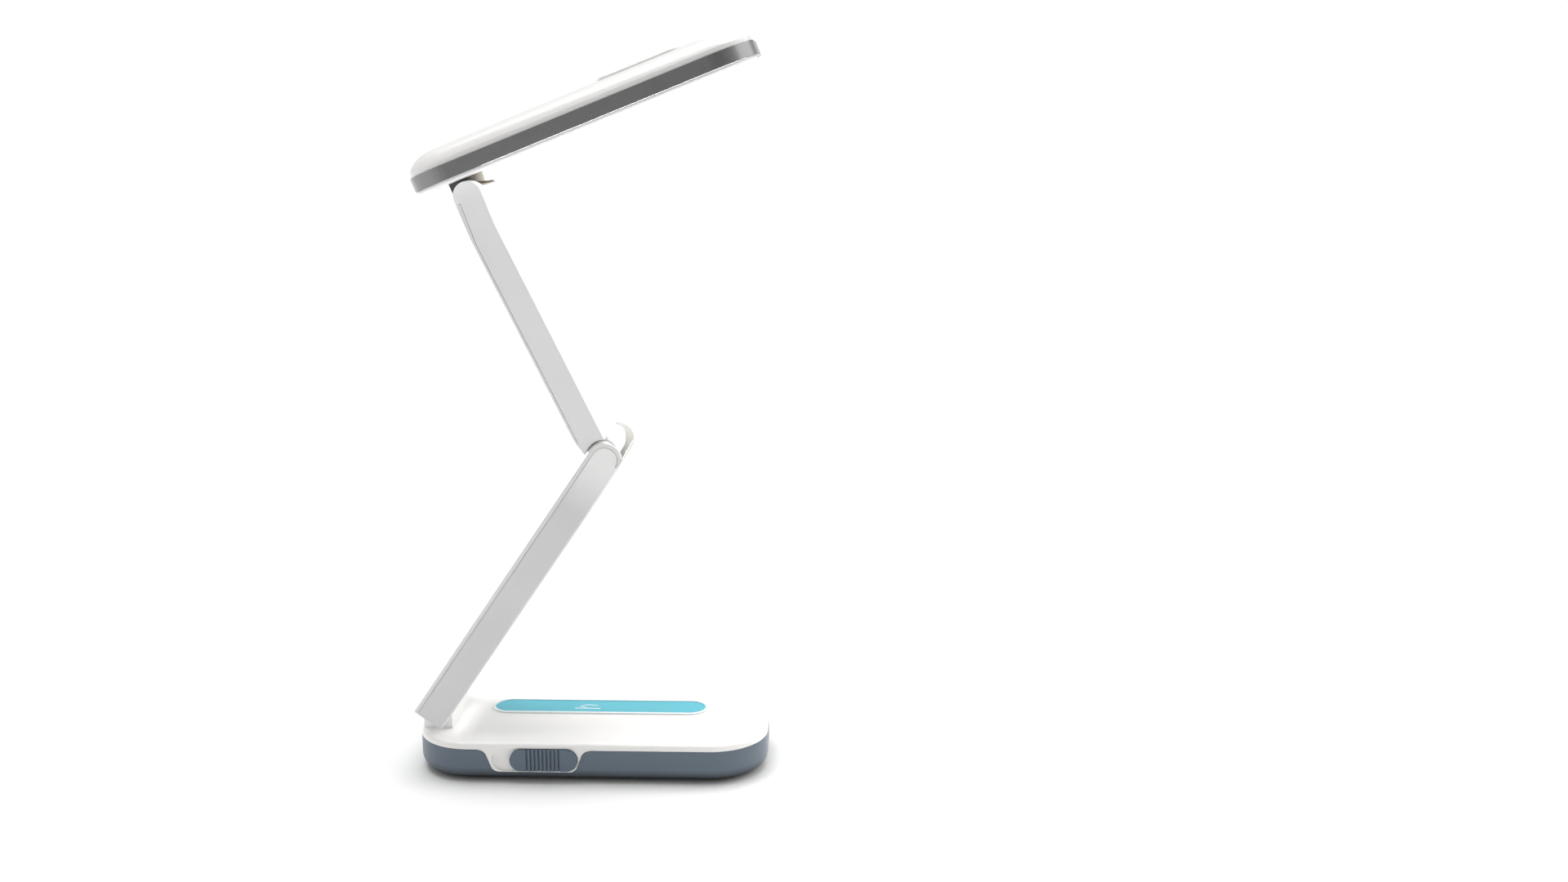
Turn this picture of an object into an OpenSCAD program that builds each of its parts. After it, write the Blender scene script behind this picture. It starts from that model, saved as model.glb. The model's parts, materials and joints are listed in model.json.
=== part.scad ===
// Folding rechargeable desk lamp: a flat base, two arms that nest when folded, and a long slim head.
// Origin: centre of the base on the table. +X towards the head's free end, +Y to the rear, +Z up.

/* [Base] */
// Length of the base
base_l = 205; // [198:1:212]
// Width of the base
base_w = 88; // [84:1:94]
// Height of the base's top face above the table
base_top = 24; // [23:0.5:25]
// Height of the joint between the lower and upper base shells
base_seam = 20; // [19:0.5:20]
// Radius of the base's corners in plan
base_r = 33; // [28:1:36]
// Height of the rubber feet
foot_h = 1.5; // [1:0.5:2]

/* [Hinges] */
// Distance of the base hinge pin from the middle of the base
base_pin_back = 93.4; // [92:0.1:94]
// Height of the base hinge pin above the table
base_pin_z = 39.2; // [39:0.1:40]
// Radius of the three hinge pins
pin_r = 2; // [1.8:0.1:2.2]
// Radial running clearance of a pin in its bore
pin_play = 0.03; // [0.02:0.01:0.08]

/* [Lower arm] */
// Distance between the lower arm's two pins
lower_l = 182.5; // [180:0.5:184]
// Rest angle of the lower arm above the table
lower_angle = 55.6; // [45:0.1:60]
// Width over the lower arm's cheeks
lower_w = 62; // [61.6:0.1:63]
// Depth of the lower arm, from its open side to its closed side
lower_t = 19.2; // [19:0.1:19.6]

/* [Upper arm] */
// Distance between the upper arm's two pins
upper_l = 160; // [158:0.5:162]
// Rest angle of the upper arm above the table
upper_angle = 115.5; // [100:0.1:125]
// Width of the upper arm
upper_w = 57; // [56:0.1:57]

/* [Head] */
// Length of the head
head_l = 202; // [198:1:206]
// Width of the head
head_w = 85; // [82:1:88]
// Rest angle of the head above level
head_tilt = 21.6; // [15:0.1:30]
// Radius of the head's corners in plan
head_r = 25; // [20:1:28]
// Length of the head behind its hinge pin
head_back = 27.7; // [26:0.1:30]
// Number of LED columns along the head
led_columns = 12; // [8:1:14]

/* [Hidden] */
$fn = 64;

gap = 0.05;                    // between pieces that are fixed to each other
seam_line = 0.25;              // open joint lines that show on the outside
move_gap = 0.3;                // between pieces that move past each other
wall = 2;                      // moulded wall of the base and head
bore_r = pin_r + pin_play;

// Base
shell_floor = foot_h + wall;   // inside bottom of the lower shell
roof = base_top - wall;        // underside of the upper shell's top
tongue_x = -30.8;              // middle of the white tongue that drops round the switch
tongue_drop = 13.3;
tongue_top_w = 64.6;
tongue_r = 5.25;               // radius of the bends in the tongue's sides
tongue_slope = 70;             // slope of its sides between the bends
tongue_t = 2.5;
knob_w = 39;
knob_h = 13;
knob_z = 14.2;
slot_w = 50;
slot_right = -5.2;             // right end of the knob's recess
knob_travel = slot_w - knob_w - 1;
stem_w = 7;
knob_x = slot_right - 0.5 - knob_w / 2;
slot_x = slot_right - slot_w / 2;
stripe_y = 13.4;
stripe_l = 127.8;
stripe_w = 18.8;
stripe_rim_w = 1.8;
screw_x = 66;
screw_y = 28;
foot_x = 83;
foot_y = 25;
socket_x = 45;
socket_z = 11.5;
socket_r = 2.75;
mouth_r = 4.2;                 // recess in the socket for the collar of a plug
mouth_depth = 5;
lamp_x = 32;
front = -base_w / 2;
rear = base_w / 2;

// Arms, each drawn along +X from its lower pin, with its outer side at +Z
lower_open = 6.6;                          // pin to the lower arm's open side
lower_closed = lower_open - lower_t;       // pin to its closed side
ear_r = lower_t / 2;
ear_z = (lower_open + lower_closed) / 2;
rim_t = 2.3;                               // width of the liner's rim seen from the side
lower_end = -6.5;
floor_start = 14.2;
lip_end = lower_l + 7;
liner_in = upper_w / 2 + move_gap;         // half width inside the liner
liner_out = liner_in + 0.9;
shell_side = liner_out + gap;              // half width inside the lower arm's shell
shell_floor_t = 0.8;
liner_bottom = lower_closed + 1.1;
liner_floor = lower_closed + 1.9;
knuckle_half = 18.3;                       // half width of the upper arm's elbow knuckle
washer_t = 0.4;
boss_in = knuckle_half + washer_t + 0.2;   // inner face of the elbow bosses
boss_r = 7;
block_half = 22;                           // half width of the base hinge block's knuckle
base_boss_in = block_half + washer_t + 0.2;
base_boss_r = 6.2;
upper_outer = 9.9;                         // pin to the upper arm's outer side
upper_inner = -6.3;                        // pin to its inner, lit side
cover_t = 2;
cover_end = upper_l - 2;
seam = upper_outer - cover_t;
top_r = 8;
relief = [-2.6, -1.5];                     // the elbow ear's centre, seen from the upper arm
relief_r = 11.4;
head_gap = upper_l - 11.5;                 // start of the slot between the upper arm's ears
head_block_half = 18;
head_block_left = -9.6;        // ends of the hinge block's flange along the head
head_block_right = 11;
head_gap_half = head_block_half + washer_t + 0.2;

// Head, drawn along +X from its pin, with its top at +Z
head_low = 9.75;
band_low = 11.75;
band_top = 19.75;
crown_top = 29.75;
lid_edge = 14;                 // width of the lid's curved edge, and its radius
lid_edge_r = 16.8;
slope_l = 35;                  // length of the lid's falling free end
slope_drop = 7.8;
head_mid = head_l / 2 - head_back;
window_l = 146;
window_w = 66;
window_x = head_l - head_back - 11 - window_l / 2;
led_z = 19;
pad_from = 115 - head_back;
pad_to = 166 - head_back;

elbow = [-base_pin_back + lower_l * cos(lower_angle), 0, base_pin_z + lower_l * sin(lower_angle)];
head_pin = elbow + upper_l * [cos(upper_angle), 0, sin(upper_angle)];

// ---------- places ----------

module at_base_pin() translate([-base_pin_back, 0, base_pin_z]) children();
module in_lower_arm() at_base_pin() rotate([0, -lower_angle, 0]) children();
module in_upper_arm() translate(elbow) rotate([0, -upper_angle, 0]) children();
module in_head() translate(head_pin) rotate([0, -head_tilt, 0]) children();

// ---------- shapes ----------

// A flat side view in X and Z, given thickness from y0 to y1.
module across(y0, y1) translate([0, y1, 0]) rotate([90, 0, 0]) linear_extrude(y1 - y0) children();

// The same on both sides of the middle.
module both_sides(y0, y1) {
    across(y0, y1) children();
    across(-y1, -y0) children();
}

// A cylinder along Y.
module rod(r, y0, y1) translate([0, y1, 0]) rotate([90, 0, 0]) cylinder(r = r, h = y1 - y0);

module both_rods(r, y0, y1) {
    rod(r, y0, y1);
    rod(r, -y1, -y0);
}

// Half of a rounded slab's section: x is the distance from the middle, y the height.
module half_section(x, h, low_r, top_r) {
    square([x - max(low_r, top_r), h]);
    translate([0, low_r]) square([x, h - low_r - top_r]);
    if (low_r > 0) translate([x - low_r, low_r]) intersection() {
        circle(low_r);
        translate([0, -low_r]) square(low_r);
    }
    if (top_r > 0) translate([x - top_r, h - top_r]) intersection() {
        circle(top_r);
        square(top_r);
    }
}

module whole_section(w, h, low_r, top_r) {
    half_section(w / 2, h, low_r, top_r);
    mirror([1, 0]) half_section(w / 2, h, low_r, top_r);
}

// A slab with round corners in plan, and rounded lower and upper edges.
module slab(l, w, r, z0, z1, low_r = 0, top_r = 0) {
    h = z1 - z0;
    translate([0, 0, z0]) {
        for (sx = [-1, 1], sy = [-1, 1])
            translate([sx * (l / 2 - r), sy * (w / 2 - r), 0])
                rotate_extrude() half_section(r, h, low_r, top_r);
        translate([-(l / 2 - r), 0, 0]) rotate([90, 0, 90])
            linear_extrude(l - 2 * r) whole_section(w, h, low_r, top_r);
        translate([0, w / 2 - r, 0]) rotate([90, 0, 0])
            linear_extrude(w - 2 * r) whole_section(l, h, low_r, top_r);
    }
}

// A flat plate with round corners in plan.
module plate(l, w, r, z0, z1) translate([0, 0, z0]) linear_extrude(z1 - z0) {
    square([l - 2 * r, w], center = true);
    square([l, w - 2 * r], center = true);
    for (sx = [-1, 1], sy = [-1, 1]) translate([sx * (l / 2 - r), sy * (w / 2 - r)]) circle(r);
}

module stadium(l, w) {
    square([l - w, w], center = true);
    for (s = [-1, 1]) translate([s * (l - w) / 2, 0]) circle(w / 2);
}

module at_corners(x, y) for (sx = [-1, 1], sy = [-1, 1]) translate([sx * x, sy * y, 0]) children();

// The point where a line from p touches the circle c, r; side is 1 or -1.
function touch(p, c, r, side) =
    let (d = norm(c - p), a = atan2(c[1] - p[1], c[0] - p[0]) + side * asin(r / d))
    p + sqrt(d * d - r * r) * [cos(a), sin(a)];

// ---------- base ----------

// The seam drops along two S curves to the tongue's flat bottom. Each is a bend, a straight and
// the opposite bend; here is the right half.
module half_tongue(grow) {
    side = [sin(tongue_slope), -cos(tongue_slope)];
    straight = (tongue_drop - 2 * tongue_r * (1 - cos(tongue_slope))) / sin(tongue_slope);
    upper = [tongue_top_w / 2, -tongue_r];
    lower = [upper[0] - 2 * tongue_r * sin(tongue_slope) - straight * cos(tongue_slope),
        tongue_r - tongue_drop];
    difference() {
        union() {
            translate(lower) circle(tongue_r + grow);
            polygon([[0, 1], [0, -tongue_drop - grow], lower - [0, tongue_r + grow],
                lower + (tongue_r + grow) * side, upper - (tongue_r - grow) * side,
                upper + [0, tongue_r - grow], [upper[0], 1]]);
        }
        translate(upper) circle(tongue_r - grow);
    }
}

module tongue(grow = 0, t = tongue_t) translate([tongue_x, 0, base_seam]) across(front - 1, front + t) {
    half_tongue(grow);
    mirror([1, 0]) half_tongue(grow);
}

module base_outline(z0, z1, low_r, top_r) slab(base_l, base_w, base_r, z0, z1, low_r, top_r);

module base_lower_shell() color([0.36, 0.42, 0.48]) difference() {
    base_outline(foot_h, base_seam, 7, 0);
    difference() {
        slab(base_l - 2 * wall, base_w - 2 * wall, base_r - wall, shell_floor, base_seam + 1, 4);
        at_corners(screw_x, screw_y) cylinder(r = 4, h = 10.5);
        for (x = [-50, 5], y = [-31, -8]) translate([x, y, 0]) cylinder(r = 2.5, h = 7 - gap);
    }
    tongue(grow = seam_line, t = wall + 1);
    switch_slot(2 * tongue_t);
    at_corners(screw_x, screw_y) {
        cylinder(r = 1.4, h = base_seam);
        cylinder(r = 3.1, h = 4.5);
    }
    at_corners(foot_x, foot_y) cylinder(r = 5.1, h = foot_h + 0.5);
    translate([socket_x, 0, socket_z]) rod(5.1, rear - 4, rear + 1);
    translate([lamp_x, 0, socket_z]) rod(1.6, rear - 4, rear + 1);
}

module base_upper_shell() color([0.96, 0.96, 0.95]) {
    difference() {
        union() {
            base_outline(base_seam + seam_line, base_top, 0, 2);
            intersection() {
                base_outline(foot_h, base_seam + 1, 7, 0);
                tongue();
            }
        }
        difference() {
            slab(base_l - 2 * wall, base_w - 2 * wall, base_r - wall, base_seam - 1, roof);
            translate([tongue_x, front + tongue_t / 2, base_seam])
                cube([tongue_top_w - 6, tongue_t, 2 * wall], center = true);
        }
        switch_slot(2 * tongue_t);
        translate([0, stripe_y, base_top - 0.8]) linear_extrude(2)
            stadium(stripe_l + 2 * stripe_rim_w, stripe_w + 2 * stripe_rim_w);
        translate([-base_pin_back, 0, 0]) for (y = [-14, 14]) translate([3, y, roof - 1])
            cylinder(r = 1.4, h = 4);
        translate([-base_pin_back - 2, 0, roof - 1]) cylinder(r = 3, h = 4);
    }
    difference() {
        at_corners(screw_x, screw_y) translate([0, 0, 10.6]) cylinder(r = 4, h = roof - 10.6);
        at_corners(screw_x, screw_y) cylinder(r = 1.25, h = 18);
    }
}

// The opening in the tongue for the knob's stem, through its whole thickness.
module switch_slot(depth) translate([slot_x, 0, knob_z]) {
    across(front - 1, front + 1.2) stadium(slot_w, knob_h + 1);
    across(front - 1, front + depth) square([stem_w + knob_travel + 0.6, 4], center = true);
}

module stripe_rim() color([0.98, 0.99, 1]) translate([0, stripe_y, base_top - 0.8])
    linear_extrude(1.7) difference() {
        stadium(stripe_l + 2 * stripe_rim_w - gap, stripe_w + 2 * stripe_rim_w - gap);
        stadium(stripe_l, stripe_w);
    }

module stripe_inlay() color([0.25, 0.68, 0.80]) translate([0, stripe_y, base_top - 0.8])
    linear_extrude(1.2) stadium(stripe_l - 2 * gap, stripe_w - 2 * gap);

module rubber_feet() color([0.12, 0.12, 0.13]) at_corners(foot_x, foot_y)
    cylinder(r = 5, h = foot_h + 0.5);

// The cross that a screwdriver fits, cut into a screw's head round the height z.
module driver_cross(z) translate([0, 0, z]) {
    cube([3, 0.7, 1.2], center = true);
    cube([0.7, 3, 1.2], center = true);
}

module base_screws() color([0.75, 0.75, 0.76]) at_corners(screw_x, screw_y) {
    difference() {
        translate([0, 0, 2.6]) cylinder(r = 2.8, h = 1.9);
        driver_cross(2.6);
    }
    translate([0, 0, 4.5]) cylinder(r = 1.2, h = 12);
}

module ballast_plate() color([0.55, 0.56, 0.58]) translate([48, 0, 0]) difference() {
    plate(72, 64, 16, shell_floor + gap, shell_floor + 2.5);
    for (y = [-1, 1]) translate([screw_x - 48, y * screw_y, 0]) cylinder(r = 5, h = 10);
}

module battery_cells() color([0.25, 0.45, 0.30]) for (y = [12, 29.5])
    translate([-60, y, 13]) rotate([0, 90, 0]) {
        cylinder(r = 8.5, h = 65.5);
        translate([0, 0, 65.5]) cylinder(r = 3, h = 1);
    }

// An open tray that the two cells lie in.
module battery_cradle() color([0.85, 0.85, 0.83]) difference() {
    translate([-62, 2.6, shell_floor + gap]) cube([70.5, 35, 8]);
    for (y = [12, 29.5]) translate([-60.6, y, 13]) rotate([0, 90, 0]) cylinder(r = 8.6, h = 67.6);
    translate([-60.6, 12, 8]) cube([67.6, 17.5, 10]);
}

module control_board() color([0.10, 0.38, 0.22]) translate([-58, front + 8, 7]) cube([92, 34, 1.6]);

// The slide switch stands on the board behind the knob's slot, with a groove for the stem.
module slide_switch_body() color([0.70, 0.71, 0.72]) difference() {
    translate([slot_x - 15, front + 8.2, 8.65]) cube([30, 7, 10.6]);
    translate([slot_x - 13, front + 8, knob_z - 1.6]) cube([26, 4.2, 3.2]);
}

// A barrel socket: a recess for the plug's collar, then the bore with its centre pin.
module charging_socket() color([0.12, 0.12, 0.13]) translate([socket_x, 0, socket_z]) {
    difference() {
        union() {
            rod(5, rear - mouth_depth - 1, rear - 0.2);
            translate([-5.5, rear - 16, -5.4]) cube([11, 16 - mouth_depth, 10.8]);
        }
        rod(socket_r, rear - 14, rear + 1);
        rod(mouth_r, rear - mouth_depth, rear + 1);
    }
    rod(1, rear - 14.5, rear - mouth_depth - 1);
}

module charge_lamp() color([0.9, 0.3, 0.25]) translate([lamp_x, 0, socket_z])
    rod(1.5, rear - 5, rear + 0.3);

// The block between the lower arm's cheeks, screwed down on the base. Its left side follows the
// base's rounded end.
module base_hinge_block() color([0.95, 0.95, 0.94]) difference() {
    union() {
        intersection() {
            plate(base_l - 3, base_w - 3, base_r - 1.5, base_top, base_top + 10.2);
            difference() {
                translate([-base_l / 2, -block_half, base_top])
                    cube([base_l / 2 - base_pin_back + 10.9, 2 * block_half, 10.2]);
                translate([-base_pin_back + 10.9, 0, base_top + 10.2]) rotate([0, 45, 0])
                    cube([1.4, 60, 1.4], center = true);
            }
        }
        at_base_pin() {
            rod(6.4, -block_half, block_half);
            across(-block_half, block_half) translate([-6.4, -6]) square([12.8, 6]);
        }
    }
    at_base_pin() {
        rod(bore_r, -30, 30);
        for (y = [-14, 14]) translate([3, y, base_top - base_pin_z - 1]) cylinder(r = 1.25, h = 8);
    }
}

module hinge_block_screws() color([0.75, 0.75, 0.76]) for (y = [-14, 14])
    translate([-base_pin_back + 3, y, 0]) {
        translate([0, 0, roof - 2]) cylinder(r = 2.8, h = 2 - gap);
        translate([0, 0, roof - gap]) cylinder(r = 1.2, h = 8);
    }

module washers(half) both_rods(4.9, half + 0.1, half + 0.1 + washer_t);

module base_friction_washers() color([0.6, 0.55, 0.45]) at_base_pin() difference() {
    washers(block_half);
    rod(bore_r, -40, 40);
}

// ---------- power slider ----------

module slide_switch_knob() color([0.38, 0.44, 0.50]) translate([knob_x, 0, knob_z]) {
    difference() {
        across(front - 1.4, front + 1) stadium(knob_w, knob_h);
        for (i = [-4 : 4]) translate([2.3 * i - 0.2, 0, 0])
            across(front - 2, front - 0.2) square([1.1, knob_h + 1], center = true);
    }
    across(front + 1, front + 11) square([stem_w, 2.6], center = true);
}

// ---------- lower arm ----------

// The arm's side, with a square lower end and a round upper ear, set in by grow < 0.
module lower_side(inset = 0) {
    translate([lower_end, lower_closed]) square([lower_l - lower_end, lower_t - inset]);
    translate([lower_l, ear_z]) circle(ear_r - inset);
}

// A long bar with the arm's rounded edges, to trim the pieces with.
module lower_bar() translate([lower_end - 1, 0, lower_closed]) rotate([90, 0, 90])
    linear_extrude(lip_end - lower_end + 6) whole_section(lower_w, lower_t, 1.6, 1.2);

module lower_bores(r) {
    both_rods(r, boss_in - 30, lower_w / 2 - 1);
    translate([lower_l, 0, 0]) both_rods(r, boss_in - 30, lower_w / 2 - 1);
}

module lower_arm_shell() color([0.93, 0.94, 0.95]) in_lower_arm() difference() {
    intersection() {
        union() {
            both_sides(shell_side, lower_w / 2) {
                lower_side(rim_t + seam_line);
                translate([lower_l - 1, lower_closed]) square([lip_end - lower_l + 1, 1.6]);
            }
            across(-lower_w / 2, lower_w / 2)
                translate([floor_start, lower_closed]) square([lip_end - floor_start, shell_floor_t]);
            both_rods(base_boss_r, base_boss_in, shell_side + 0.5);
            translate([lower_l, 0, 0]) both_rods(boss_r, boss_in, shell_side + 0.5);
        }
        union() {
            lower_bar();
            both_rods(base_boss_r, base_boss_in, shell_side);
            translate([lower_l, 0, 0]) both_rods(boss_r, boss_in, shell_side);
        }
    }
    both_rods(bore_r, base_boss_in - 1, lower_w / 2 - 1);
    translate([lower_l, 0, 0]) both_rods(bore_r, boss_in - 1, lower_w / 2 - 1);
}

// The inner channel that the upper arm folds into. Its rim caps the shell's cheeks.
module lower_arm_liner() color([0.95, 0.96, 0.97]) in_lower_arm() difference() {
    intersection() {
        union() {
            both_sides(liner_in, liner_out) lower_side();
            both_sides(liner_in, lower_w / 2) difference() {
                lower_side();
                lower_side(rim_t);
                translate([0, lower_closed - 1]) square([2 * lower_l, 2.7]);
            }
            across(-liner_out, liner_out)
                translate([floor_start, liner_bottom]) square([lip_end - 1 - floor_start, 0.8]);
        }
        union() {
            lower_bar();
        }
    }
    across(-liner_out - 0.01, liner_out + 0.01)
        translate([lower_end - 1, lower_closed - 1]) square([2 * lower_l, 1 + liner_bottom - lower_closed]);
    both_rods(base_boss_r + gap, liner_in - 1, shell_side + 0.55);
    translate([lower_l, 0, 0]) both_rods(boss_r + gap, liner_in - 1, shell_side + 0.55);
}

module base_hinge_pin() color([0.78, 0.78, 0.80]) at_base_pin()
    rod(pin_r, -lower_w / 2 + 1.2, lower_w / 2 - 1.2);

module elbow_pin() color([0.78, 0.78, 0.80]) translate(elbow)
    rod(pin_r, -lower_w / 2 + 1.2, lower_w / 2 - 1.2);

module elbow_friction_washers() color([0.6, 0.55, 0.45]) translate(elbow) difference() {
    washers(knuckle_half);
    rod(bore_r, -40, 40);
}

// Flat lead between the shell's floor and the liner.
module lower_arm_lead() color([0.20, 0.20, 0.22]) in_lower_arm()
    translate([floor_start + 2, -5, lower_closed + shell_floor_t + gap]) cube([lower_l - 20, 10, 0.2]);

// ---------- upper arm ----------

// Outer side view of the arm above the elbow, tapering into the round ear at the head.
module upper_side() {
    outer_from = [upper_l - 25, upper_outer];
    inner_from = [upper_l - 20, upper_inner];
    ear = [upper_l, 0];
    difference() {
        union() {
            polygon([[0, upper_inner], inner_from, touch(inner_from, ear, top_r, -1), ear,
                touch(outer_from, ear, top_r, 1), outer_from, [15, upper_outer], [3.1, 7.4], [0, 7.4]]);
            translate(ear) circle(top_r);
        }
        translate(relief) circle(relief_r);
    }
}

// The strip of the side view that belongs to the cover.
module cover_side(shrink = 0) intersection() {
    upper_side();
    polygon([[12 + shrink, seam + shrink], [upper_l - 25, seam + shrink],
        [cover_end - shrink, top_r - cover_t - 0.6 + shrink],
        [cover_end - shrink, 20], [12 + shrink, 20]]);
}

module upper_bar() translate([-10, 0, -top_r - 1]) rotate([90, 0, 90])
    linear_extrude(upper_l + 30) whole_section(upper_w, upper_outer + top_r + 1, 0, 1.2);

module head_slot() across(-head_gap_half, head_gap_half)
    translate([head_gap, -20]) square([30, 40]);

module upper_arm_shell() color([0.90, 0.90, 0.90]) in_upper_arm() difference() {
    union() {
        difference() {
            across(-upper_w / 2, upper_w / 2) difference() {
                upper_side();
                cover_side();
            }
            head_slot();
            across(-upper_w / 2 + 2, upper_w / 2 - 2)
                translate([24, upper_inner + 2]) square([head_gap - 27, 20]);
        }
        across(-knuckle_half, knuckle_half) {
            circle(8.3);
            polygon([[0, upper_inner], [15, upper_inner], [15, seam], [12, seam], [3, 7.4], [0, 8.3]]);
        }
        for (x = [32, 120], y = [-19, 19])
            translate([x, y, upper_inner + 1]) cylinder(r = 3, h = seam - upper_inner - 1 - gap);
    }
    rod(bore_r, -40, 40);
    translate([upper_l, 0, 0]) both_rods(bore_r, head_gap_half - 1, upper_w / 2 - 1);
    for (x = [32, 120], y = [-19, 19])
        translate([x, y, seam - 8]) cylinder(r = 1, h = 9);
}

module upper_arm_cover() color([0.96, 0.96, 0.97]) in_upper_arm() difference() {
    intersection() {
        across(-upper_w / 2, upper_w / 2) cover_side(seam_line);
        upper_bar();
    }
    head_slot();
    for (x = [32, 120], y = [-19, 19]) translate([x, y, 0]) {
        cylinder(r = 1.2, h = 20);
        translate([0, 0, upper_outer - 1.2]) cylinder(r = 2.3, h = 5);
    }
}

module upper_arm_screws() color([0.75, 0.75, 0.76]) in_upper_arm()
    for (x = [32, 120], y = [-19, 19]) translate([x, y, 0]) {
        difference() {
            translate([0, 0, upper_outer - 1.15]) cylinder(r = 2.2, h = 1.05);
            driver_cross(upper_outer);
        }
        translate([0, 0, upper_outer - 8]) cylinder(r = 0.95, h = 6.9);
    }

module head_hinge_pin() color([0.78, 0.78, 0.80]) translate(head_pin)
    rod(pin_r, -upper_w / 2 + 1.2, upper_w / 2 - 1.2);

module head_friction_washers() color([0.6, 0.55, 0.45]) translate(head_pin) difference() {
    washers(head_block_half);
    rod(bore_r, -40, 40);
}

module upper_arm_lead() color([0.20, 0.20, 0.22]) in_upper_arm()
    translate([26, -5, upper_inner + 2 + gap]) cube([head_gap - 31, 10, 0.6]);

// ---------- head ----------

// The knuckle that the head turns on, fixed under the head by two screws.
module head_hinge_block() color([0.30, 0.30, 0.31]) in_head() difference() {
    across(-head_block_half, head_block_half) {
        circle(7);
        polygon([[head_block_right, head_low - gap], [head_block_left, head_low - gap],
            [head_block_left, 4], touch([head_block_left, 4], [0, 0], 7, 1),
            touch([head_block_right, 4], [0, 0], 7, -1), [head_block_right, 4]]);
    }
    rod(bore_r, -30, 30);
    for (y = [-12, 12]) translate([0, y, 4.5]) cylinder(r = 1.25, h = 8);
}

module hinge_plate_screws() color([0.75, 0.75, 0.76]) in_head() for (y = [-12, 12])
    translate([0, y, 0]) {
        translate([0, 0, 4.6]) cylinder(r = 1.2, h = band_low - 4.6);
        translate([0, 0, band_low]) cylinder(r = 2.6, h = 1.8);
    }

// White frame under the head that holds the diffuser.
module head_base_plate() color([0.97, 0.96, 0.94]) in_head() difference() {
    translate([head_mid, 0, 0]) slab(head_l - 3, head_w - 3, head_r - 1.5, head_low, band_low - gap, 1.2);
    translate([window_x, 0, 0]) plate(window_l, window_w, 8, head_low - 1, band_low + 1);
    for (y = [-12, 12]) translate([0, y, 0]) cylinder(r = 1.4, h = 20);
    head_screw_places() {
        cylinder(r = 1.4, h = 20);
        cylinder(r = 2.8, h = head_low + 0.9);
    }
}

module head_ring(inset) difference() {
    translate([head_mid, 0, 0])
        slab(head_l - 2 * inset, head_w - 2 * inset, head_r - inset, band_low, band_top);
    translate([head_mid, 0, 0])
        plate(head_l - 2 * inset - 2 * wall, head_w - 2 * inset - 2 * wall, head_r - inset - wall,
            band_low - 1, band_top + 1);
}

module head_screw_places() for (y = [-1, 1]) {
    translate([-head_back + 14, y * 28, 0]) children();
    translate([6, y * 33, 0]) children();
}

module head_bezel() color([0.45, 0.45, 0.46]) in_head() head_ring(0);

// Half of the lid's section: flat, then an arc that falls to a low rim.
module half_lid(x, inset) {
    h = crown_top - band_top - gap;
    intersection() {
        union() {
            translate([0, -inset]) square([x - lid_edge, h]);
            translate([x - lid_edge, h - lid_edge_r]) circle(lid_edge_r - inset);
        }
        translate([0, -inset]) square([x - inset, h]);
    }
}

module whole_lid(w, inset) {
    half_lid(w / 2, inset);
    mirror([1, 0]) half_lid(w / 2, inset);
}

// The lid's solid form: curved edges, and a free end that falls away.
module lid_form(inset) {
    l = head_l - 1;
    w = head_w - 1;
    r = head_r - 0.5;
    slope_r = (slope_l * slope_l + slope_drop * slope_drop) / (2 * slope_drop);
    x0 = head_l - head_back - 0.5 - slope_l;
    intersection() {
        translate([head_mid, 0, band_top + gap]) {
            for (sx = [-1, 1], sy = [-1, 1])
                translate([sx * (l / 2 - r), sy * (w / 2 - r), 0]) rotate_extrude() half_lid(r, inset);
            translate([-(l / 2 - r), 0, 0]) rotate([90, 0, 90])
                linear_extrude(l - 2 * r) whole_lid(w, inset);
            translate([0, w / 2 - r, 0]) rotate([90, 0, 0])
                linear_extrude(w - 2 * r) whole_lid(l, inset);
        }
        across(-head_w / 2, head_w / 2) {
            translate([-head_back - 1, 0]) square([x0 + head_back + 1, crown_top - inset]);
            translate([x0, crown_top - slope_r]) circle(slope_r - inset, $fn = 256);
        }
    }
}

module head_top_cover() color([0.97, 0.97, 0.96]) in_head() {
    difference() {
        lid_form(0);
        difference() {
            lid_form(wall);
            head_screw_places() cylinder(r = 3.2, h = 40);
        }
        head_screw_places() cylinder(r = 1.25, h = led_z + 2.2);
    }
    difference() {
        head_screw_places() translate([0, 0, band_low + 0.3]) cylinder(r = 3.2, h = 10);
        head_screw_places() cylinder(r = 1.25, h = led_z + 2.2);
    }
}

module head_top_pad() color([0.97, 0.97, 0.97]) in_head()
    translate([(pad_from + pad_to) / 2, 0, 0])
        slab(pad_to - pad_from, 46, 8, crown_top + gap, crown_top + 2.1, 0, 1.8);

module diffuser() color([1, 0.98, 0.92]) in_head() translate([window_x, 0, 0]) {
    plate(window_l - 0.2, window_w - 0.2, 7.9, head_low + 0.5, band_low - gap);
    plate(window_l + 8, window_w + 5, 9, band_low, band_low + 1);
}

// Folded tray round the LEDs that sends their light down.
module reflector_tray() color([0.98, 0.98, 0.98]) in_head() translate([window_x, 0, 0]) difference() {
    plate(window_l + 6, window_w + 3, 8, band_low + 1 + gap, led_z + 1.5);
    plate(window_l + 4, window_w + 1, 7, band_low, led_z);
}

module led_board() color([0.92, 0.93, 0.92]) in_head() translate([window_x, 0, 0])
    plate(window_l, window_w - 4, 3, led_z - 1.3, led_z - gap);

module leds() color([1, 0.92, 0.6]) in_head()
    for (i = [0 : led_columns - 1], y = [-20, 0, 20])
        translate([window_x + (i - (led_columns - 1) / 2) * window_l / led_columns, y, led_z - 2.1])
            cube([3.5, 2.8, 1.5], center = true);

module head_screws() color([0.75, 0.75, 0.76]) in_head() head_screw_places() {
    difference() {
        translate([0, 0, head_low + 0.1]) cylinder(r = 2.6, h = 0.8 - gap);
        driver_cross(head_low);
    }
    translate([0, 0, head_low + 0.9 - gap]) cylinder(r = 1.2, h = 9);
}

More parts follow.
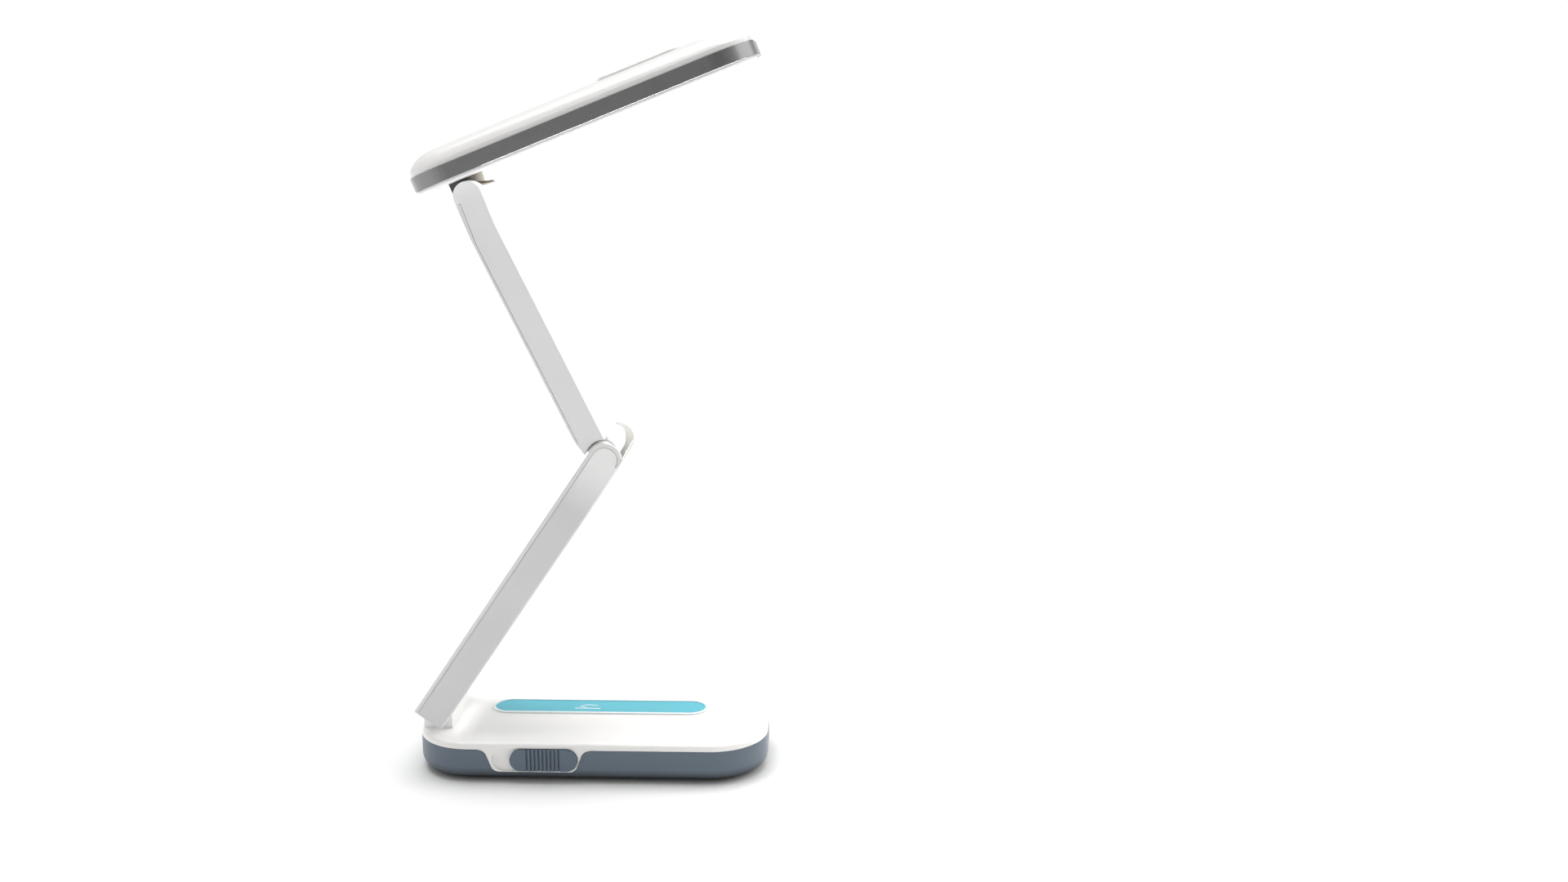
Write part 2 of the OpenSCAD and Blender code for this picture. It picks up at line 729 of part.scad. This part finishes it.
base_lower_shell();
base_upper_shell();
stripe_rim();
stripe_inlay();
rubber_feet();
base_screws();
ballast_plate();
battery_cells();
battery_cradle();
control_board();
slide_switch_body();
charging_socket();
charge_lamp();
base_hinge_block();
hinge_block_screws();
base_friction_washers();
slide_switch_knob();
lower_arm_shell();
lower_arm_liner();
base_hinge_pin();
elbow_pin();
elbow_friction_washers();
lower_arm_lead();
upper_arm_shell();
upper_arm_cover();
upper_arm_screws();
head_hinge_pin();
head_friction_washers();
upper_arm_lead();
head_hinge_block();
hinge_plate_screws();
head_base_plate();
head_bezel();
head_top_cover();
head_top_pad();
diffuser();
reflector_tray();
led_board();
leds();
head_screws();
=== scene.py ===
"""A folding rechargeable desk lamp, lit, standing open on a white studio table."""
import json
import math

import bpy
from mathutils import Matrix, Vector


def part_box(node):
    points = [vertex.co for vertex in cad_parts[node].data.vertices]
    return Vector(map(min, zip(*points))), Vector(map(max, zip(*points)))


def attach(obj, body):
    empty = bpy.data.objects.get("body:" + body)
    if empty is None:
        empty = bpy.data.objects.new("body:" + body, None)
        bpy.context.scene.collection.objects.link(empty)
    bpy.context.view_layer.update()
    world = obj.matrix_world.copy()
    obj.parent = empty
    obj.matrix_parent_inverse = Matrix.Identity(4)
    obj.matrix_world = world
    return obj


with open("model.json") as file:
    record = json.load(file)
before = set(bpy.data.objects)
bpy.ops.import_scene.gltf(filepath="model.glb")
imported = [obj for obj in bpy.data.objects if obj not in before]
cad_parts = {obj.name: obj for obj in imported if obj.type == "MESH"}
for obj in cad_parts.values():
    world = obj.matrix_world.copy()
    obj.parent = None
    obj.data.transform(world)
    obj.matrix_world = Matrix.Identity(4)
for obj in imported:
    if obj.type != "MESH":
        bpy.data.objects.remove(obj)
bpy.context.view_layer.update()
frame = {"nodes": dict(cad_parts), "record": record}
nodes = frame["nodes"]
MM = 0.001
head_tilt = math.radians(21.6)     # how far the head rises from its hinge to its free end
gloss = dict(Coat_Weight=0.35, Coat_Roughness=0.06)

# Radius in mm that each piece's sharp edges are rounded by.
softened = {
    0.8: ("upper_arm_shell", "lower_arm_liner"),
    0.4: ("lower_arm_shell", "base_hinge_block", "head_hinge_block"),
    0.3: ("slide_switch_knob",),
}


# ---------- camera ----------

def add_camera():
    """The eye stands 0.9 m in front and a little to the right, level with the lamp's head."""
    data = bpy.data.cameras.new("camera")
    data.sensor_width = 36
    data.lens = 36.655
    data.clip_end = 50
    cam = bpy.data.objects.new("camera", data)
    cam.location = (0.1387, -0.89745, 0.38711)
    pitch_down, turned_left = 0.2127, 0.03
    cam.rotation_euler = (math.pi / 2 - pitch_down, 0, turned_left)
    bpy.context.scene.collection.objects.link(cam)
    bpy.context.scene.camera = cam


# ---------- materials ----------

class Material:
    """A Principled material and short ways to feed its sockets."""

    def __init__(self, name, **values):
        self.mat = bpy.data.materials.new(name)
        self.mat.use_nodes = True
        self.tree = self.mat.node_tree
        self.shader = self.tree.nodes["Principled BSDF"]
        self.coords = self.add("ShaderNodeTexCoord").outputs["Object"]
        self.base = self.shader.inputs["Base Color"]
        for socket, value in values.items():
            self.shader.inputs[socket.replace("_", " ")].default_value = value

    def add(self, kind, **settings):
        node = self.tree.nodes.new(kind)
        for key, value in settings.items():
            setattr(node, key, value)
        return node

    def link(self, a, b):
        self.tree.links.new(a, b)

    def noise(self, scale, detail=3.0, stretch=(1, 1, 1)):
        """Noise with features of about 1/scale metres."""
        mapping = self.add("ShaderNodeMapping")
        mapping.inputs["Scale"].default_value = stretch
        self.link(self.coords, mapping.inputs["Vector"])
        tex = self.add("ShaderNodeTexNoise")
        tex.inputs["Scale"].default_value = scale
        tex.inputs["Detail"].default_value = detail
        self.link(mapping.outputs["Vector"], tex.inputs["Vector"])
        return tex.outputs["Fac"]

    def ramp(self, value, source, target):
        """Maps the range source onto the range target, and holds it beyond both ends."""
        node = self.add("ShaderNodeMapRange")
        for name, number in zip(("From Min", "From Max", "To Min", "To Max"), (*source, *target)):
            node.inputs[name].default_value = number
        self.link(value, node.inputs["Value"])
        return node.outputs["Result"]

    def spread(self, value, low, high):
        """Maps the middle of a noise's range onto low..high."""
        return self.ramp(value, (0.3, 0.7), (low, high))

    def axis(self, letter):
        """The place along X, Y or Z."""
        split = self.add("ShaderNodeSeparateXYZ")
        self.link(self.coords, split.inputs[0])
        return split.outputs[letter]

    def along(self, start, direction):
        """The distance from the point start along a direction."""
        offset = self.add("ShaderNodeVectorMath", operation="SUBTRACT")
        self.link(self.coords, offset.inputs[0])
        offset.inputs[1].default_value = start
        dot = self.add("ShaderNodeVectorMath", operation="DOT_PRODUCT")
        self.link(offset.outputs["Vector"], dot.inputs[0])
        dot.inputs[1].default_value = direction
        return dot.outputs["Value"]

    def mix(self, factor, a, b):
        """Colour a where factor is 0, b where it is 1."""
        node = self.add("ShaderNodeMix", data_type="RGBA")
        for socket, value in ((node.inputs[6], a), (node.inputs[7], b)):
            if isinstance(value, tuple):
                socket.default_value = (*value, 1)
            else:
                self.link(value, socket)
        self.link(factor, node.inputs[0])
        return node.outputs[2]

    def color(self, value):
        self.link(value, self.base)
        return self

    def clouded(self):
        """The colour that the material has so far, for a mix on top of it."""
        return self.base.links[0].from_socket

    def roughness(self, value):
        self.link(value, self.shader.inputs["Roughness"])
        return self

    def bump(self, value, depth, distance=0.0002):
        """Raises the surface; several calls add up."""
        node = self.add("ShaderNodeBump")
        node.inputs["Strength"].default_value = depth
        node.inputs["Distance"].default_value = distance
        self.link(value, node.inputs["Height"])
        normal = self.shader.inputs["Normal"]
        if normal.is_linked:
            self.link(normal.links[0].from_socket, node.inputs["Normal"])
        self.link(node.outputs["Normal"], normal)
        return self


def joint_place(name):
    """Where the record puts a joint's axis."""
    joints = frame["record"]["behaviour"]["joints"]
    return Vector(next(j["pos_m"] for j in joints if j["name"] == name))


def shade(color, factor):
    return tuple(min(1.0, c * factor) for c in color)


def moulded(name, color, rough, grain=0.25, **values):
    """Moulded plastic: faint clouding, uneven polish and a fine skin texture."""
    m = Material(name, **values)
    m.color(m.mix(m.spread(m.noise(18), 0, 1), shade(color, 0.975), shade(color, 1.02)))
    m.roughness(m.spread(m.noise(60, 5), rough * 0.85, rough * 1.15))
    m.bump(m.noise(1800, 2), grain, 0.00004)
    m.bump(m.noise(25, 2), 0.12, 0.0002)
    return m


def metal(name, color, rough, stretch=(1, 60, 60)):
    """Turned or drawn metal with fine lines across the stretch."""
    m = Material(name, Metallic=1.0)
    m.color(m.mix(m.spread(m.noise(40), 0, 1), shade(color, 0.88), shade(color, 1.06)))
    lines = m.noise(30, 4, stretch)
    m.roughness(m.spread(lines, rough * 0.8, rough * 1.25))
    m.bump(lines, 0.15, 0.00005)
    return m


def opal():
    """Milky diffuser lit from behind, with a faint unevenness in its warmth."""
    m = Material("opal_lit", Roughness=0.45)
    soft = m.spread(m.noise(30), 0, 1)
    m.color(m.mix(soft, (0.93, 0.92, 0.88), (0.97, 0.96, 0.93)))
    glow = m.spread(m.noise(35, 1), 0, 1)
    m.link(m.mix(glow, (1.0, 0.955, 0.88), (1.0, 0.975, 0.925)), m.shader.inputs["Emission Color"])
    m.shader.inputs["Emission Strength"].default_value = 7.0
    m.bump(m.noise(900, 2), 0.2, 0.00005)
    return m


def glowing(name, color, strength):
    """A small lit lamp with a warm glow."""
    m = Material(name, Roughness=0.4)
    m.color(m.mix(m.spread(m.noise(400), 0, 1), shade(color, 0.9), shade(color, 1.05)))
    m.shader.inputs["Emission Color"].default_value = (1.0, 0.9, 0.7, 1)
    m.shader.inputs["Emission Strength"].default_value = strength
    return m


def board():
    """Green board with copper tracks under the mask."""
    m = Material("board_green", Roughness=0.35)
    tracks = m.add("ShaderNodeTexBrick")
    tracks.inputs["Scale"].default_value = 120
    tracks.inputs["Color1"].default_value = (0.02, 0.13, 0.05, 1)
    tracks.inputs["Color2"].default_value = (0.025, 0.16, 0.06, 1)
    tracks.inputs["Mortar"].default_value = (0.05, 0.24, 0.10, 1)
    m.link(m.coords, tracks.inputs["Vector"])
    m.color(tracks.outputs["Color"])
    m.bump(tracks.outputs["Fac"], 0.3, 0.0001)
    return m


def make_materials():
    """One material for each slot of the record whose pieces have none of their own."""
    return {
        "white_gloss": moulded("white_gloss", (0.86, 0.85, 0.83), 0.22, 0.08, **gloss),
        "white_satin": moulded("white_satin", (0.9, 0.9, 0.9), 0.42, 0.25),
        "pearl_rim": moulded("pearl_rim", (0.88, 0.92, 0.93), 0.2, 0.08, **gloss),
        "turquoise": moulded("turquoise", (0.094, 0.485, 0.59), 0.32, 0.08, Coat_Weight=0.2,
                              Coat_Roughness=0.2),
        "knob_plastic": moulded("knob_plastic", (0.115, 0.155, 0.2), 0.4, 0.3),
        "grey_band": moulded("grey_band", (0.28, 0.28, 0.285), 0.28, 0.05, Metallic=0.9),
        "inner_plastic": moulded("inner_plastic", (0.8, 0.8, 0.78), 0.5, 0.3),
        "led_board_white": moulded("led_board_white", (0.85, 0.85, 0.83), 0.35, 0.1),
        "rubber": moulded("rubber", (0.018, 0.018, 0.02), 0.75, 0.6),
        "cable_rubber": moulded("cable_rubber", (0.03, 0.03, 0.034), 0.6, 0.4),
        "black_plastic": moulded("black_plastic", (0.02, 0.02, 0.022), 0.35, 0.3),
        "cell_wrap": moulded("cell_wrap", (0.04, 0.2, 0.09), 0.25, 0.1),
        "red_lens": moulded("red_lens", (0.55, 0.04, 0.02), 0.12, 0.05, Coat_Weight=0.5),
        "steel": metal("steel", (0.6, 0.6, 0.61), 0.3),
        "iron": metal("iron", (0.2, 0.2, 0.21), 0.55, (1, 1, 1)),
        "brass": metal("brass", (0.62, 0.48, 0.24), 0.32),
        "board": board(),
        "opal": opal(),
        "led_yellow": glowing("led_yellow", (0.85, 0.7, 0.25), 4.0),
    }


def cheek_material():
    """The lower arm's satin white, which grows paler over the last 35 mm below the elbow: a
    painted glow of the lamp's light on the elbow.
    """
    foot, elbow = joint_place("base_hinge"), joint_place("elbow_hinge")
    m = moulded("cheek_white_painted_glow", (0.745, 0.745, 0.755), 0.42, 0.25)
    base = m.clouded()
    # Painted light: the cheek pales to near white towards the elbow, where the lamp's glow falls
    # on it.
    painted_glow_near_elbow = m.ramp(m.along(elbow, (elbow - foot).normalized()), (-35 * MM, -6 * MM), (0, 1))
    return m.color(m.mix(painted_glow_near_elbow, base, (0.99, 0.99, 0.985)))


def hinge_material():
    """The head's hinge block: dark grey behind the pin as painted shade, beige to warm white in
    front and below as painted light from the lamp.
    """
    forward = Vector((math.cos(head_tilt), 0, math.sin(head_tilt)))
    up = Vector((-math.sin(head_tilt), 0, math.cos(head_tilt)))
    # Painted shade and light: dark grey where the block sits in shade behind the pin, beige to
    # white where the lamp lights its front and underside.
    m = moulded("hinge_painted_shade_and_light", (0.06, 0.058, 0.056), 0.45, 0.25)
    dark = m.clouded()
    distance = m.along(joint_place("head_hinge"), forward)
    height = m.along(joint_place("head_hinge"), up)
    painted_light_beige = m.mix(m.ramp(distance, (1 * MM, 9.5 * MM), (0, 1)), dark, (0.5, 0.46, 0.4))
    painted_light_flange = m.mix(m.ramp(distance, (9.5 * MM, 10.8 * MM), (0, 1)), painted_light_beige, (0.88, 0.88, 0.86))
    return m.color(m.mix(m.ramp(height, (2 * MM, 4 * MM), (0, 1)), (0.88, 0.88, 0.87), painted_light_flange))


def slate_material():
    """The base's slate plastic, darker towards its rounded lower edge as painted shade from the
    floor.
    """
    m = moulded("slate_tray", (0.118, 0.157, 0.197), 0.36, 0.35)
    slate = m.clouded()
    # Painted shade: the slate fades to near black over its lowest few mm, where the floor shades
    # it.
    above_painted_shade = m.ramp(m.axis("Z"), (2.5 * MM, 9 * MM), (0, 1))
    return m.color(m.mix(above_painted_shade, (0.02, 0.025, 0.032), slate))


def dress_nodes(materials):
    """Gives every CAD node its own material, or the one of its slot in the record."""
    own = {
        "lower_arm_shell": cheek_material(),
        "head_hinge_block": hinge_material(),
        "base_lower_shell": slate_material(),
        "base_upper_shell": moulded("base_white", (0.96, 0.95, 0.93), 0.22, 0.08, **gloss),
        # Painted light: the base's hinge block gets a paler white than the other white plastic,
        # standing in for the light falling on it.
        "base_hinge_block": moulded("hinge_white_painted_light", (0.98, 0.975, 0.965), 0.4, 0.2),
    }
    for part in frame["record"]["subparts"]:
        name = part["node"]
        material = own[name] if name in own else materials[part["material_slot"]]
        mesh = nodes[name].data
        mesh.materials.clear()
        mesh.materials.append(material.mat)


def soften_edges():
    """Rounds the sharp moulded edges of the plastic pieces."""
    for width, names in softened.items():
        for name in names:
            bevel = nodes[name].modifiers.new("soft_edges", "BEVEL")
            bevel.width = width * MM
            bevel.segments = 3
            bevel.limit_method = "ANGLE"
            bevel.angle_limit = math.radians(35)


# ---------- stage ----------

def add_floor():
    """A white floor that glows further back, so that no edge shows against the surroundings."""
    m = Material("studio_floor", Roughness=0.6)
    m.color(m.mix(m.spread(m.noise(3), 0, 1), (0.89, 0.89, 0.89), (0.91, 0.91, 0.91)))
    glow = m.ramp(m.axis("Y"), (0.4, 1.6), (0.0, 0.6))
    m.shader.inputs["Emission Color"].default_value = (1, 1, 1, 1)
    m.link(glow, m.shader.inputs["Emission Strength"])
    size = 12
    mesh = bpy.data.meshes.new("floor")
    mesh.from_pydata([(-size, -size, 0), (size, -size, 0), (size, size, 0), (-size, size, 0)],
                     [], [(0, 1, 2, 3)])
    mesh.materials.append(m.mat)
    floor = bpy.data.objects.new("floor", mesh)
    bpy.context.scene.collection.objects.link(floor)


def add_light(name, place, target, size, watts):
    """A soft rectangular light that points at target."""
    data = bpy.data.lights.new(name, "AREA")
    data.shape = "RECTANGLE"
    data.size, data.size_y = size
    data.energy = watts
    light = bpy.data.objects.new(name, data)
    light.location = place
    light.rotation_euler = (Vector(target) - Vector(place)).to_track_quat("-Z", "Y").to_euler()
    bpy.context.scene.collection.objects.link(light)


def add_studio():
    """Surroundings bright low behind, dimmer above and in front, and two broad soft lights."""
    world = bpy.data.worlds.new("studio")
    world.use_nodes = True
    tree = world.node_tree
    coords = tree.nodes.new("ShaderNodeTexCoord")
    facing = tree.nodes.new("ShaderNodeVectorMath")
    facing.operation = "DOT_PRODUCT"
    facing.inputs[1].default_value = (0, -1, -0.2)
    split = tree.nodes.new("ShaderNodeSeparateXYZ")
    for node in (facing, split):
        tree.links.new(coords.outputs["Generated"], node.inputs[0])
    darker = tree.nodes.new("ShaderNodeMath")
    darker.operation = "MINIMUM"
    back_to_front = (-0.5, 0.8, 1.06, 0.28)
    low_to_high = (0.07, 0.18, 1.06, 0.6)
    ramps = ((facing.outputs["Value"], back_to_front), (split.outputs["Z"], low_to_high))
    for socket, (value, numbers) in zip(darker.inputs, ramps):
        ramp = tree.nodes.new("ShaderNodeMapRange")
        for key, number in zip(("From Min", "From Max", "To Min", "To Max"), numbers):
            ramp.inputs[key].default_value = number
        tree.links.new(value, ramp.inputs["Value"])
        tree.links.new(ramp.outputs["Result"], socket)
    background = tree.nodes["Background"]
    background.inputs["Color"].default_value = (1, 1, 1, 1)
    tree.links.new(darker.outputs[0], background.inputs["Strength"])
    bpy.context.scene.world = world
    add_light("top_light", place=(-0.2, 0.7, 3.0), target=(0, 0, 0.1), size=(2.8, 2.0), watts=75)
    add_light("right_light", place=(2.4, 0.6, 1.8), target=(0, 0, 0.15), size=(3.0, 3.2), watts=36)


# ---------- detail ----------

def lamp_sign(materials):
    """A flat raised desk-lamp sign on the stripe: a foot, then two arms and a head as one line."""
    low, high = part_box("stripe_inlay")
    middle = (low + high) / 2
    left_of_middle, line_radius, flatness = 7.5 * MM, 0.5 * MM, 0.25
    foot = [(-7.7, -2.89), (7.7, -2.89)]
    arms = [(0.0, -2.89), (-4.84, 0.34), (-0.88, 2.89), (5.72, 1.53)]
    curve = bpy.data.curves.new("lamp_sign", "CURVE")
    curve.dimensions = "3D"
    curve.bevel_depth = line_radius
    curve.bevel_resolution = 3
    for chain in (foot, arms):
        spline = curve.splines.new("POLY")
        spline.points.add(len(chain) - 1)
        for point, (x, y) in zip(spline.points, chain):
            point.co = (x * MM - left_of_middle, y * MM, 0, 1)
    sign = bpy.data.objects.new("lamp_sign", curve)
    sign.location = (middle[0], middle[1], high[2])
    sign.scale = (1, 1, flatness)
    bpy.context.scene.collection.objects.link(sign)
    curve.materials.append(materials["pearl_rim"].mat)
    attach(sign, "base")


bpy.context.scene.view_settings.view_transform = "Standard"
add_camera()
materials = make_materials()
dress_nodes(materials)
lamp_sign(materials)
soften_edges()
add_floor()
add_studio()
